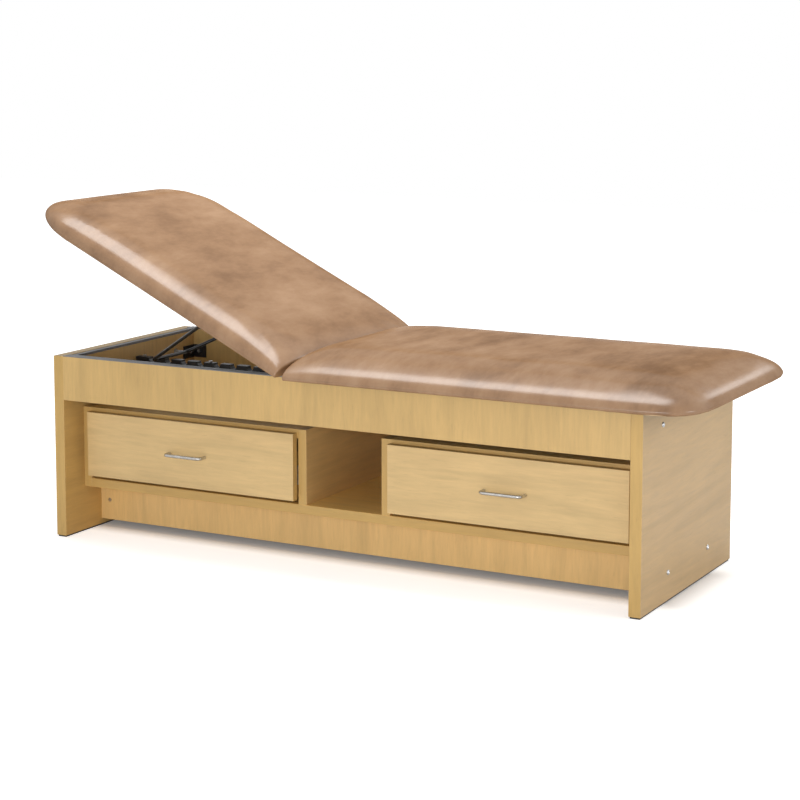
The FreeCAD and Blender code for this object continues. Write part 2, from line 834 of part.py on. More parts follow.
def prop_bracket():
    """Plate under the backrest's board with an ear that holds one end of the prop frame."""
    plate_x = (flat_pivot.x - prop_plate_length / 2, flat_pivot.x + prop_plate_length / 2)
    top = board_underside
    plate = box(plate_x, (prop_ear_end - prop_plate_width, prop_ear_end), (top - prop_plate_thickness, top))
    half_ear = prop_ear_width / 2
    ear = box((flat_pivot.x - half_ear, flat_pivot.x + half_ear), (prop_ear_start, prop_ear_end),
              (flat_pivot.z, top))
    tip = cylinder(half_ear, vector(flat_pivot.x, prop_ear_start, flat_pivot.z),
                   vector(flat_pivot.x, prop_ear_end, flat_pivot.z))
    bore = cylinder(prop_rod_radius + pivot_clearance,
                    vector(flat_pivot.x, prop_ear_start - overrun, flat_pivot.z),
                    vector(flat_pivot.x, prop_ear_end + overrun, flat_pivot.z))
    return plate.fuse([ear, tip]).cut(bore)


def prop_screw_places():
    places = []
    y = prop_ear_start - prop_plate_width / 2
    for side in (-1, 1):
        for end in (-1, 1):
            x = flat_pivot.x + end * (prop_plate_length / 2 - screw_head_radius * prop_screw_margin_share)
            places.append((vector(x, side * y, board_underside - prop_plate_thickness), (0, 0, 1)))
    return places


def prop_point(along, y):
    """Point in the prop frame's own plane, measured up from its foot."""
    direction = (rest_pivot - rest_foot).normalize()
    point = rest_foot + direction * along
    return vector(point.x, y, point.z)


def bent_path(points, radius):
    """Line through points with every inner corner rounded to a radius."""
    edges = []
    start = points[0]
    for before, corner, after in zip(points, points[1:], points[2:]):
        to_before = (before - corner).normalize()
        to_after = (after - corner).normalize()
        half_turn = to_before.getAngle(to_after) / 2
        setback = radius / math.tan(half_turn)
        bisector = (to_before + to_after).normalize()
        centre = corner + bisector * (radius / math.sin(half_turn))
        arc_start = corner + to_before * setback
        arc_end = corner + to_after * setback
        edges.append(Part.LineSegment(start, arc_start).toShape())
        edges.append(Part.Arc(arc_start, centre - bisector * radius, arc_end).toShape())
        start = arc_end
    edges.append(Part.LineSegment(start, points[-1]).toShape())
    return Part.Wire(edges)


def prop_frame():
    """One bent rod: a foot across the rack, two splayed legs and two pivot ends."""
    points = [prop_point(prop_arm, -prop_pin_end), prop_point(prop_arm, -prop_pin_half_width),
              prop_point(0, -prop_foot_half_width), prop_point(0, prop_foot_half_width),
              prop_point(prop_arm, prop_pin_half_width), prop_point(prop_arm, prop_pin_end)]
    path = bent_path(points, prop_bend_radius)
    section = Part.Wire(Part.makeCircle(prop_rod_radius, points[0], vector(0, 1, 0)))
    return Part.Solid(path.makePipeShell([section], True, True))


def prop_clip():
    """Push-on washer outside the bracket's ear."""
    end = prop_clip_start + prop_clip_thickness
    washer = cylinder(prop_clip_radius, prop_point(prop_arm, prop_clip_start), prop_point(prop_arm, end))
    bore = cylinder(prop_rod_radius, prop_point(prop_arm, prop_clip_start - overrun),
                    prop_point(prop_arm, end + overrun))
    return washer.cut(bore)


def make_rack():
    first = rest_foot.x - rack_slots_below_rest * rack_pitch
    end = last_slot_x + rack_end_length
    half = rack_width / 2
    rack = box((rail_inner, end), (-half, half), (rack_base, rack_tooth_top))
    slots = []
    for index in range(rack_slots_below_rest + rack_slots_above_rest + 1):
        x = first + index * rack_pitch
        z = rack_tooth_top - rack_slot_sink
        slots.append(cylinder(rack_slot_radius, vector(x, -half - overrun, z), vector(x, half + overrun, z)))
        mouth = math.sqrt(rack_slot_radius ** 2 - rack_slot_sink ** 2)
        slots.append(box((x - mouth, x + mouth), (-half - overrun, half + overrun),
                         (z, rack_tooth_top + overrun)))
    screw_xs = [rail_inner + rack_screw_end_offset, rest_foot.x + rack_middle_screw_pitches * rack_pitch,
                end - rack_screw_end_setback]
    under = [vector(x, 0, rack_tooth_top) for x in screw_xs]
    depth = rack_tooth_top - rack_base + rack_screw_depth
    holes = [shank_hole(point, (0, 0, -1), hex_screw_radius, depth) for point in under]
    save("rack", cut_all(rack, slots + holes))
    save("rack_screws", [hex_screw(point, (0, 0, -1), depth) for point in under])
    rail = box((rail_inner, hinge_x + hinge_rail_setback), (-rack_rail_width / 2, rack_rail_width / 2),
               (apron_bottom, rack_base))
    save("rack_rail", cut_all(rail, holes))


def make_backrest():
    leaves = hinge_leaves(-1)
    brackets = both_sides(prop_bracket())
    prop_holes = small_screw_holes(prop_screw_places(), prop_plate_thickness)
    hinge_holes = small_screw_holes(hinge_screw_places(-1), hinge_leaf_thickness)
    brackets = [cut_all(bracket, prop_holes) for bracket in brackets]
    blank = pad_board(-1, backrest_reach, backrest_corner_radius)
    pad = cushion(-1, backrest_reach, backrest_profile, blank)
    board = cut_all(blank, prop_holes + hinge_holes)
    cover = dust_cover(-1, backrest_reach, backrest_corner_radius, leaves + brackets)
    screws = small_screws(hinge_screw_places(-1), hinge_leaf_thickness)
    screws += small_screws(prop_screw_places(), prop_plate_thickness)
    save("backrest_board", raise_backrest(board))
    save("backrest_cushion", raise_backrest(pad))
    save("backrest_dust_cover", raise_backrest(cover))
    save("backrest_hinge_leaves", [raise_backrest(leaf) for leaf in leaves])
    save("prop_brackets", [raise_backrest(bracket) for bracket in brackets])
    save("backrest_screws", [raise_backrest(screw) for screw in screws])
    save("prop_frame", prop_frame())
    save("prop_clips", both_sides(prop_clip()))


def make_seat():
    leaves = hinge_leaves(1)
    hinge_holes = small_screw_holes(hinge_screw_places(1), hinge_leaf_thickness)
    blank = pad_board(1, seat_reach, seat_corner_radius)
    board = cut_all(blank, hinge_holes + seat_bracket_holes())
    cover = dust_cover(1, seat_reach, seat_corner_radius, leaves + seat_brackets())
    screws = small_screws(hinge_screw_places(1), hinge_leaf_thickness)
    bracket_screws = small_screws(seat_bracket_screw_places(), seat_bracket_thickness)
    screws += bracket_screws + [mirror_y(screw) for screw in bracket_screws]
    save("seat_board", board)
    save("seat_cushion", cushion(1, seat_reach, seat_profile, blank))
    save("seat_dust_cover", cover)
    save("seat_hinge_leaves", leaves)
    save("hinge_pins", hinge_pins())
    save("seat_brackets", seat_brackets())
    save("seat_screws", screws)


os.makedirs("parts", exist_ok=True)
make_end_panels()
make_fastening_of_ends()
make_apron_box()
make_cabinet()
make_kick_boards()
make_drawers()
make_rack()
make_backrest()
make_seat()
print("hinge pin", [round(value, 3) for value in pin_point])
print("prop pivot", [round(value, 3) for value in rest_pivot])
print("prop foot", [round(value, 3) for value in rest_foot], "flat", round(prop_foot(0).x, 3))
print("head end panel's outer face", round(head_x, 3), "top angle", round(top_angle, 2))
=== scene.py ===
import math

import bmesh
import bpy
import mathutils
import numpy as np
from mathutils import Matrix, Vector, noise


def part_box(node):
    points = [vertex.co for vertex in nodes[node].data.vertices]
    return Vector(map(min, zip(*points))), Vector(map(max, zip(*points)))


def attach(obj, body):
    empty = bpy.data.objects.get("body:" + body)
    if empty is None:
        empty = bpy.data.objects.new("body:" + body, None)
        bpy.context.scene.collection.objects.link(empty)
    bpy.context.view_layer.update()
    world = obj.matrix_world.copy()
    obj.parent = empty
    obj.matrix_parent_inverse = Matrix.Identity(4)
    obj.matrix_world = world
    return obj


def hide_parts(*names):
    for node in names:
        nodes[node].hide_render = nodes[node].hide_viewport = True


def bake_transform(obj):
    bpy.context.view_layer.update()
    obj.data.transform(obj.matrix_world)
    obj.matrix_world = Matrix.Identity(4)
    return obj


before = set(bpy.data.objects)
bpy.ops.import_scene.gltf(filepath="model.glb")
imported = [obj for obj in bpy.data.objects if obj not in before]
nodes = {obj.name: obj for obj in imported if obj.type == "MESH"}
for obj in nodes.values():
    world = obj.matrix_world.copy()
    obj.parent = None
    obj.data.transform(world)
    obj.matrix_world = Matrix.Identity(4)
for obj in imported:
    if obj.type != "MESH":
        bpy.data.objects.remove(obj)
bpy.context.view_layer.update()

# Places of the part. Every length is in metres
hinge_pin = Vector((-0.141515, 0, 0.454))
underside = 0.459
half_width = 0.343
hinge_gap = 0.012
rest_angle = math.radians(26.1)

# Cushions: length from the hinge face, crown height, width and fullness of the rolled edge, size
# and squareness of the outer corners, and the crown's drop at the hinge and at the outer end
seat_form = dict(
    length=0.999, crown=0.0675, roll=0.205, fullness=2.0, zone=0.205, squareness=4.4,
    hinge_drop=0.017, hinge_roll=0.110, end_drop=0.0, end_roll=0.200)
backrest_form = dict(
    length=0.805, crown=0.0590, roll=0.135, fullness=2.6, zone=0.150, squareness=2.0,
    hinge_drop=0.025, hinge_roll=0.150, end_drop=0.024, end_roll=0.300)

# Lower edge of the cushions' sides: its height, its rings' turns and how far it draws in below
edge_height = 0.008
edge_turns = (math.pi / 2, math.pi / 3, math.pi / 6)
underside_draw = 0.005

# Sides that pull in between the corners, and dents of the cover
side_pull = 0.0015
side_pull_focus = 4
dent_height = 0.0011
dent_scale = 7.0

# The cover's wrap under the board, as rings from the innermost outwards: inset, start from the
# hinge face, and height
wrap_thickness = 0.0006
wrap_rings = ((0.022, 0.008, 0.006), (0.016, 0.003, -wrap_thickness),
              (0.010, 0.0015, -wrap_thickness))
pleat_inset = 0.016
pleat_depth = 0.0016
pleat_count = 9
pleat_sharpness = 3

# Cushion meshes: a ring's points by the hinge, along the straight side, round a corner and across
# half the outer end, the rows of the rolled edge, and shares of the way from it to the middle
near_points, straight_points, corner_points, end_points = 10, 43, 17, 13
roll_rows = 22
crown_shares = (0.06, 0.14, 0.24, 0.36, 0.50, 0.66, 0.82, 0.94)

# How near two points are when they count as one, in a cushion's shell and elsewhere
merge_distance = 2e-5
fine_distance = 1e-6

# Cloth simulation of the cushions, and how far a point may move in it, less by the hinge face
simulation_shrink = 0.002
simulation_pressure = 4.0
simulation_quality = 4
simulation_frames = 20
simulation_cap = 0.0014
hinge_face_cap = 0.001
hinge_face_reach = 0.03
held_height = 0.010

# Dust covers, with each one's well: where the open part of it starts and ends, and its half width
cover_inset = 0.015
cover_hinge_inset = 0.003
cover_thickness = 0.0006
cover_hem = 0.012
cover_cell = 0.025
cover_clearance = 0.001
cells_inset = cover_inset + cover_hem * 1.5
hem_reach = cover_inset + cover_hem * 0.9
hem_start = 2 * cover_cell
hem_drop = cover_thickness * 0.8
seat_well = (0.080, 0.800, 0.245)
backrest_well = (0.040, 0.600, 0.245)
cover_sag = 0.003
sag_slope = 0.12
fitting_slope = 0.04

# Staples: their crown's underside, and each level's height and share of the wire's width
staple_inset = 0.006
staple_pitch = 0.045
staple_length = 0.011
staple_wire = 0.0008
staple_bottom = -2.4 * cover_thickness - staple_wire / 2
staple_levels = ((staple_bottom, 0.6), (staple_bottom + staple_wire * 0.4, 1.0), (0.0, 1.0))

# Bolt heads
bolt_head_radius = 0.0062
bolt_head_height = 0.0030
bolt_head_ease = 0.0004
bolt_socket_radius = 0.0025
bolt_socket_depth = 0.0020
bolt_flat_radius = bolt_socket_radius * 1.3
bolt_shank_radius = 0.0029
bolt_sides = 24
dome_rings = 7

# Camera, fitted to the photograph's corners
camera_place = (2.3469, -4.3708, 1.2814)
camera_yaw = math.radians(28.286)
camera_pitch = math.radians(7.114)
camera_lens = 93.93
camera_sensor = 36
camera_shift = -0.15

# World and lamps: each lamp's place, what it aims at, its size and its power in watts
world_level = 0.45
lamps = {
    "overhead": ((-0.40, 0.12, 2.75), (-0.40, 0.12, 0.5), (2.3, 1.25), 54),
    "key": ((0.7, -3.6, 0.8), (0, 0, 0.3), (2.4, 1.1), 52),
    "side": ((4.1, -0.3, 1.4), (0, 0, 0.3), (1.6, 1.6), 39),
    "rim": ((1.1, 3.3, 1.8), (1.1, 0, 0.5), (0.6, 0.45), 8),
}

# Floor: the rectangle that the kick boards close off, how far the dark round it reaches, and the
# white that the camera sees added in that reach and far away
floor_half = 9.0
plinth_middle = -0.0445
plinth_half = (0.78, 0.137)
# Painted shadow: less white is added near the plinth, so the floor is darker round the base, where
# its real shadow also falls
shadow_reach = 0.06
near_white = (0.08, 0.56)
far_reach = (1.0, 3.0)
far_white = (0.0, 0.45)

# Tones of the wood laminate, each board's tone painted lighter or darker for its light and shade
apron_tone = (0.600, 0.395, 0.150)
front_tone = (0.670, 0.470, 0.215)
panel_tone = (0.590, 0.405, 0.205)
# Painted shade: the left panel's inner face in a darker tone of the same laminate
left_panel_shaded_tone = (0.560, 0.345, 0.110)
# Painted light: the kick boards, the inside boards and the shelves in lighter tones, where shade
# falls
kick_lit_tone = (0.720, 0.480, 0.195)
inside_lit_tone = (0.700, 0.445, 0.175)
shelf_lit_tone = (0.850, 0.530, 0.160)
band_tone = (0.560, 0.355, 0.115)
dark_share = 0.87
band_dark_share = 0.92
grain_stretch = 0.10

# Laminated boards: tone, the axes of the face, of its grain and of the edges' grain, and nodes
boards = {
    "maple_right_panel": (panel_tone, "X", "Y", "Z", ["end_panel_right"]),
    "maple_left_panel": (left_panel_shaded_tone, "X", "Y", "Z", ["end_panel_left"]),
    "maple_aprons": (apron_tone, "Y", "Z", "X", ["front_apron", "back_apron"]),
    "maple_kick_boards": (kick_lit_tone, "Y", "Z", "X", ["front_kick_board", "rear_kick_board"]),
    "maple_rails": (inside_lit_tone, "X", "Z", "Y", ["head_end_rail", "foot_end_rail", "hinge_rail"]),
    "maple_shelves": (shelf_lit_tone, "Z", "X", "X", [
        "bottom_board", "left_cabinet_top", "right_cabinet_top"]),
    "maple_uprights": (inside_lit_tone, "X", "Y", "Z", [
        "left_cabinet_side", "right_cabinet_side", "left_divider", "right_divider"]),
    "maple_fronts": (front_tone, "Y", "X", "X", [
        "left_drawer_front", "right_drawer_front", "left_drawer_back", "right_drawer_back"]),
    "maple_sides": (inside_lit_tone, "X", "Y", "Y", ["left_drawer_sides", "right_drawer_sides"]),
}

# Tones of the upholstery vinyl, and its gloss from a face-on view to a grazing one
vinyl_dark = (0.200, 0.103, 0.046)
vinyl_middle = (0.297, 0.166, 0.083)
vinyl_light = (0.375, 0.225, 0.124)
vinyl_gloss = ((0.0, 0.70), (0.30, 0.62), (0.52, 0.34), (0.60, 0.07), (0.78, 0.002))


# Node trees
class Tree:
    """Short calls for building one material's nodes."""

    def __init__(self, name):
        self.material = bpy.data.materials.new(name)
        self.material.use_nodes = True
        self.nodes = self.material.node_tree.nodes
        self.links = self.material.node_tree.links
        self.shader = self.nodes["Principled BSDF"]
        self.texture = self.nodes.new("ShaderNodeTexCoord")
        self.place = self.texture.outputs["Object"]

    def add(self, kind, inputs, **settings):
        node = self.nodes.new(kind)
        for key, value in settings.items():
            setattr(node, key, value)
        for key, value in inputs.items():
            self.put(node.inputs[key], value)
        return node

    def put(self, socket, value):
        if isinstance(value, bpy.types.NodeSocket):
            self.links.new(value, socket)
        else:
            socket.default_value = value

    def math(self, operation, first, second=0.0):
        return self.add("ShaderNodeMath", {0: first, 1: second}, operation=operation).outputs[0]

    def vector_math(self, operation, first, second=(0, 0, 0)):
        return self.add("ShaderNodeVectorMath", {0: first, 1: second}, operation=operation)

    def stretch(self, scales, turn=(0, 0, 0)):
        """The object's own coordinates, scaled and turned."""
        inputs = {"Vector": self.place, "Scale": scales, "Rotation": turn}
        return self.add("ShaderNodeMapping", inputs).outputs[0]

    def grain_along(self, axis):
        return self.stretch(tuple(grain_stretch if axis == name else 1.0 for name in "XYZ"))

    def noise(self, vector, scale, detail=2.0, roughness=0.5, distortion=0.0):
        inputs = {"Vector": vector, "Scale": scale, "Detail": detail, "Roughness": roughness,
                  "Distortion": distortion}
        return self.add("ShaderNodeTexNoise", inputs).outputs["Fac"]

    def cells(self, vector, scale):
        inputs = {"Vector": vector, "Scale": scale}
        return self.add("ShaderNodeTexVoronoi", inputs).outputs["Distance"]

    def weighted(self, *layers):
        """Sum of values, each with its weight."""
        total = 0.0
        for value, weight in layers:
            total = self.math("ADD", total, self.math("MULTIPLY", value, weight))
        return total

    def ramp(self, value, *stops):
        """Colour at each stop: a position, and a grey or three channels."""
        node = self.add("ShaderNodeValToRGB", {"Fac": value})
        elements = node.color_ramp.elements
        while len(elements) < len(stops):
            elements.new(0.5)
        for element, (position, colour) in zip(elements, stops):
            element.position = position
            element.color = (*(colour if isinstance(colour, tuple) else (colour,) * 3), 1)
        return node.outputs["Color"]

    def levels(self, value, span, out):
        """The value's span stretched to the range out, and held at its ends."""
        inputs = {"Value": value, "From Min": span[0], "From Max": span[1], "To Min": out[0],
                  "To Max": out[1]}
        return self.add("ShaderNodeMapRange", inputs).outputs["Result"]

    def mix(self, factor, first, second, blend="MIX"):
        """Mix of colours, which are sockets 6 and 7 of the node and its output 2."""
        inputs = {0: factor, 6: first, 7: second}
        node = self.add("ShaderNodeMix", inputs, data_type="RGBA", blend_type=blend)
        return node.outputs[2]

    def mix_vectors(self, factor, first, second):
        """Mix of vectors, which are sockets 4 and 5 of the node and its output 1."""
        inputs = {0: factor, 4: first, 5: second}
        return self.add("ShaderNodeMix", inputs, data_type="VECTOR").outputs[1]

    def facing(self, axis):
        """1 where the surface faces along an axis of the object, and 0 elsewhere."""
        parts = self.add("ShaderNodeSeparateXYZ", {0: self.texture.outputs["Normal"]})
        size = self.math("ABSOLUTE", parts.outputs["XYZ".index(axis)])
        return self.math("GREATER_THAN", size, 0.5)

    def bump(self, height, distance, strength, after=None):
        inputs = {"Height": height, "Distance": distance, "Strength": strength}
        if after is not None:
            inputs["Normal"] = after
        return self.add("ShaderNodeBump", inputs).outputs["Normal"]

    def finish(self, colour, roughness, normal=None, **plain):
        self.put(self.shader.inputs["Base Color"], colour)
        self.put(self.shader.inputs["Roughness"], roughness)
        if normal is not None:
            self.put(self.shader.inputs["Normal"], normal)
        for key, value in plain.items():
            self.shader.inputs[key.replace("_", " ")].default_value = value
        return self.material


# Wood
def shaded(colour, share):
    return tuple(channel * share for channel in colour)


def laminate(name, tone, face_axis, grain_axis, edge_axis):
    """Laminate with its grain along one axis, and a plainer, yellower band on the board's edges."""
    tree = Tree(name)
    face = tree.facing(face_axis)
    place = tree.mix_vectors(face, tree.grain_along(edge_axis), tree.grain_along(grain_axis))
    tones = tree.noise(place, 16.0, detail=4.0, roughness=0.55, distortion=0.9)
    streaks = tree.noise(place, 135.0, detail=5.0, roughness=0.62, distortion=0.3)
    pores = tree.noise(place, 330.0, roughness=0.6)
    clouds = tree.noise(tree.place, 6.0)
    dark = shaded(tone, dark_share)
    board = tree.ramp(tones, (0.30, dark), (0.52, tone), (0.74, dark))
    band = tree.ramp(tones, (0.35, shaded(band_tone, band_dark_share)), (0.65, band_tone))
    streak_shade = tree.levels(streaks, (0.30, 0.70), out=(0.93, 1.05))
    pore_shade = tree.levels(pores, (0.62, 0.76), out=(1.0, 0.90))
    cloud_shade = tree.levels(clouds, (0.30, 0.70), out=(0.96, 1.04))
    shade = tree.math("MULTIPLY", tree.math("MULTIPLY", streak_shade, pore_shade), cloud_shade)
    shades = tree.add("ShaderNodeCombineXYZ", {0: shade, 1: shade, 2: shade}).outputs[0]
    colour = tree.mix(1.0, tree.mix(face, band, board), shades, "MULTIPLY")
    roughness = tree.levels(streaks, (0.3, 0.7), out=(0.40, 0.50))
    return tree.finish(colour, roughness, tree.bump(streaks, distance=0.00012, strength=0.5))


def plywood():
    tree = Tree("plywood")
    place = tree.grain_along("X")
    tones = tree.noise(place, 22.0, detail=4.0, roughness=0.6, distortion=1.4)
    streaks = tree.noise(place, 140.0, detail=4.0, roughness=0.6)
    board = tree.ramp(tones, (0.30, (0.47, 0.31, 0.15)), (0.55, (0.60, 0.42, 0.22)),
                      (0.75, (0.50, 0.33, 0.17)))
    shade = tree.ramp(streaks, (0.30, 0.86), (0.65, 1.0))
    colour = tree.mix(1.0, board, shade, "MULTIPLY")
    return tree.finish(colour, 0.62, tree.bump(streaks, distance=0.0002, strength=0.6))


# Upholstery
def vinyl():
    """Cloudy tan tones over a fine embossed grain, with painted shade in the grain's valleys."""
    tree = Tree("tan_vinyl")
    turned = tree.stretch((1.5, 0.6, 1.0), turn=(0, 0, math.radians(22)))
    clouds = tree.noise(turned, 4.5, detail=3.0)
    patches = tree.noise(turned, 17.0, detail=3.0)
    mottle = tree.noise(turned, 70.0, detail=3.0, roughness=0.6)
    cloudiness = tree.weighted((clouds, 0.55), (patches, 0.32), (mottle, 0.13))
    tones = tree.ramp(cloudiness, (0.35, vinyl_dark), (0.50, vinyl_middle), (0.66, vinyl_light))
    wrinkles = tree.cells(tree.place, 620.0)
    pebbles = tree.noise(tree.place, 900.0)
    # Painted shade: the colour a little darker in the grain's valleys, where the bump sinks
    crease_shade = tree.ramp(wrinkles, (0.20, 1.0), (0.75, 0.92))
    colour = tree.mix(0.55, tones, crease_shade, "MULTIPLY")
    normal = tree.bump(wrinkles, distance=-0.00015, strength=0.12)
    normal = tree.bump(pebbles, distance=0.00006, strength=0.10, after=normal)
    grazing = tree.add("ShaderNodeLayerWeight", {"Blend": 0.5}).outputs["Facing"]
    tree.put(tree.shader.inputs["Specular IOR Level"], tree.ramp(grazing, *vinyl_gloss))
    return tree.finish(colour, 0.25, normal)


def dust_cloth():
    tree = Tree("dust_cloth")
    lengthwise = tree.stretch((1.0, 0.25, 1.0))
    fibres = tree.noise(lengthwise, 900.0, detail=4.0, roughness=0.7, distortion=1.5)
    dots = tree.cells(tree.place, 420.0)
    colour = tree.ramp(fibres, (0.30, (0.010, 0.010, 0.011)), (0.70, (0.034, 0.034, 0.036)))
    normal = tree.bump(fibres, distance=0.0002, strength=0.6)
    normal = tree.bump(dots, distance=0.0002, strength=0.5, after=normal)
    return tree.finish(colour, 0.92, normal, Sheen_Weight=0.25, Sheen_Roughness=0.5)


# Plastics, paint and metals
def strip_plastic():
    tree = Tree("grey_strip")
    tones = tree.noise(tree.stretch((0.15, 1.0, 1.0)), 160.0, detail=3.0)
    colour = tree.ramp(tones, (0.30, (0.150, 0.148, 0.152)), (0.70, (0.205, 0.202, 0.205)))
    roughness = tree.levels(tones, (0.3, 0.7), out=(0.42, 0.55))
    return tree.finish(colour, roughness, tree.bump(tones, distance=0.0001, strength=0.4))


def glide_plastic():
    tree = Tree("black_glide")
    grain = tree.noise(tree.place, 700.0, detail=3.0)
    colour = tree.ramp(grain, (0.3, (0.014, 0.014, 0.015)), (0.7, (0.030, 0.030, 0.032)))
    return tree.finish(colour, 0.6, tree.bump(grain, distance=0.00015, strength=0.5))


def black_paint():
    tree = Tree("black_paint")
    peel = tree.noise(tree.place, 520.0, detail=3.0, roughness=0.6)
    dust = tree.noise(tree.place, 45.0, detail=3.0)
    colour = tree.ramp(dust, (0.35, (0.009, 0.009, 0.010)), (0.70, (0.020, 0.020, 0.021)))
    roughness = tree.levels(peel, (0.3, 0.7), out=(0.32, 0.48))
    return tree.finish(colour, roughness, tree.bump(peel, distance=0.00018, strength=0.5))


def zinc_plate():
    tree = Tree("zinc_plate")
    clouds = tree.noise(tree.place, 130.0, detail=4.0, roughness=0.6)
    marks = tree.noise(tree.stretch((1.0, 0.2, 1.0)), 900.0, detail=3.0, roughness=0.7)
    colour = tree.ramp(clouds, (0.30, (0.50, 0.52, 0.54)), (0.70, (0.70, 0.71, 0.72)))
    roughness = tree.levels(clouds, (0.3, 0.7), out=(0.26, 0.40))
    normal = tree.bump(marks, distance=0.00006, strength=0.4)
    return tree.finish(colour, roughness, normal, Metallic=1.0)


def satin_nickel():
    tree = Tree("satin_nickel")
    lines = tree.noise(tree.stretch((0.03, 1.0, 1.0)), 2600.0)
    clouds = tree.noise(tree.place, 70.0, detail=3.0)
    colour = tree.ramp(clouds, (0.30, (0.46, 0.45, 0.43)), (0.70, (0.60, 0.585, 0.56)))
    roughness = tree.levels(lines, (0.3, 0.7), out=(0.22, 0.34))
    normal = tree.bump(lines, distance=0.00004, strength=0.35)
    return tree.finish(colour, roughness, normal, Metallic=1.0)


def paint(material, *names):
    for name in names:
        for slot in nodes[name].material_slots:
            slot.link = "OBJECT"
            slot.material = material


# Meshes
def smooth(mesh):
    for polygon in mesh.polygons:
        polygon.use_smooth = True


def linked(name, bm):
    """Smooth object of a finished bmesh, in the scene."""
    mesh = bpy.data.meshes.new(name)
    bm.to_mesh(mesh)
    bm.free()
    smooth(mesh)
    piece = bpy.data.objects.new(name, mesh)
    bpy.context.scene.collection.objects.link(piece)
    return piece


def linked_outward(name, bm):
    bmesh.ops.recalc_face_normals(bm, faces=bm.faces)
    return linked(name, bm)


def apply_modifiers(piece):
    evaluated = piece.evaluated_get(bpy.context.evaluated_depsgraph_get())
    mesh = bpy.data.meshes.new_from_object(evaluated)
    piece.modifiers.clear()
    piece.data = mesh
    smooth(mesh)


def coordinates(mesh):
    values = np.zeros(len(mesh.vertices) * 3, np.float32)
    mesh.vertices.foreach_get("co", values)
    return values.reshape(-1, 3).astype(float)


def set_coordinates(mesh, points):
    mesh.vertices.foreach_set("co", points.astype(np.float32).ravel())
    mesh.update()


def flip(mesh):
    bm = bmesh.new()
    bm.from_mesh(mesh)
    bmesh.ops.reverse_faces(bm, faces=bm.faces)
    bm.to_mesh(mesh)
    bm.free()


def join_rows(bm, low, high):
    """Faces between two rows with the same number of points."""
    for i in range(len(low) - 1):
        bm.faces.new((low[i], low[i + 1], high[i + 1], high[i]))


def join_loops(bm, low, high):
    join_rows(bm, low + low[:1], high + high[:1])


# Cushions, each made in its own frame: x from the hinge face outwards, y across, z up from the
# board's underside
def inset_in(form, x, y):
    """How far a point of the plan lies inside the cushion's two sides and outer end."""
    zone, squareness = form["zone"], form["squareness"]
    from_end = form["length"] - x
    from_side = half_width - np.abs(y)
    corner_x = np.clip(zone - from_end, 0, None)
    corner_y = np.clip(zone - from_side, 0, None)
    in_corner = zone - (corner_x ** squareness + corner_y ** squareness) ** (1 / squareness)
    straight = np.minimum(from_end, from_side)
    return np.where((corner_x > 0) & (corner_y > 0), in_corner, straight)


def arch(inward, reach, fullness=2.0):
    """Rise from 0 to 1 over a reach, round like a quarter of an ellipse, or fuller."""
    return (1 - np.clip(1 - inward / reach, 0, 1) ** fullness) ** (1 / fullness)


def top_height(form, inset, x):
    """Height of the cushion's top at an inset from its sides and a distance from the hinge."""
    rise = form["crown"] - edge_height
    lowered = form["hinge_drop"] * (1 - arch(x, form["hinge_roll"]))
    lowered = lowered + form["end_drop"] * (1 - arch(form["length"] - x, form["end_roll"]))
    return edge_height + (rise - lowered) * arch(inset, form["roll"], form["fullness"])


def ring_points(form, inset, start=0.0):
    """Plan of the cushion at one inset: along one side, round the outer end and back."""
    zone, length, roll = form["zone"], form["length"], form["hinge_roll"]
    power = 2 / form["squareness"]
    radius = max(zone - inset, 0.0)
    corner = max(zone, inset)
    near = [start + (roll - start) * (1 - math.cos(step / near_points * math.pi / 2))
            for step in range(near_points)]
    straight = list(np.linspace(roll, length - corner, straight_points + 1)[:-1])
    side = [(x, -(half_width - inset)) for x in near + straight]
    arc = []
    for step in range(corner_points):
        turn = (1 - step / (corner_points - 1)) * math.pi / 2
        out_x = radius * math.cos(turn) ** power
        out_y = radius * math.sin(turn) ** power
        arc.append((length - corner + out_x, -(half_width - corner + out_y)))
    across = [(length - inset, y)
              for y in np.linspace(-(half_width - corner), 0, end_points + 1)[1:]]
    first_half = side + arc + across
    return first_half + [(x, -y) for x, y in reversed(first_half[:-1])]


def close_across(bm, ring, end, hinge_points):
    """Faces across a ring, from each point to the one opposite, and one last face from end on."""
    last = len(ring) - 1
    bm.faces.new([ring[0], ring[1], ring[last - 1], ring[last]] + hinge_points)
    for i in range(1, end):
        bm.faces.new((ring[i], ring[i + 1], ring[last - i - 1], ring[last - i]))
    bm.faces.new(ring[end:len(ring) - end])


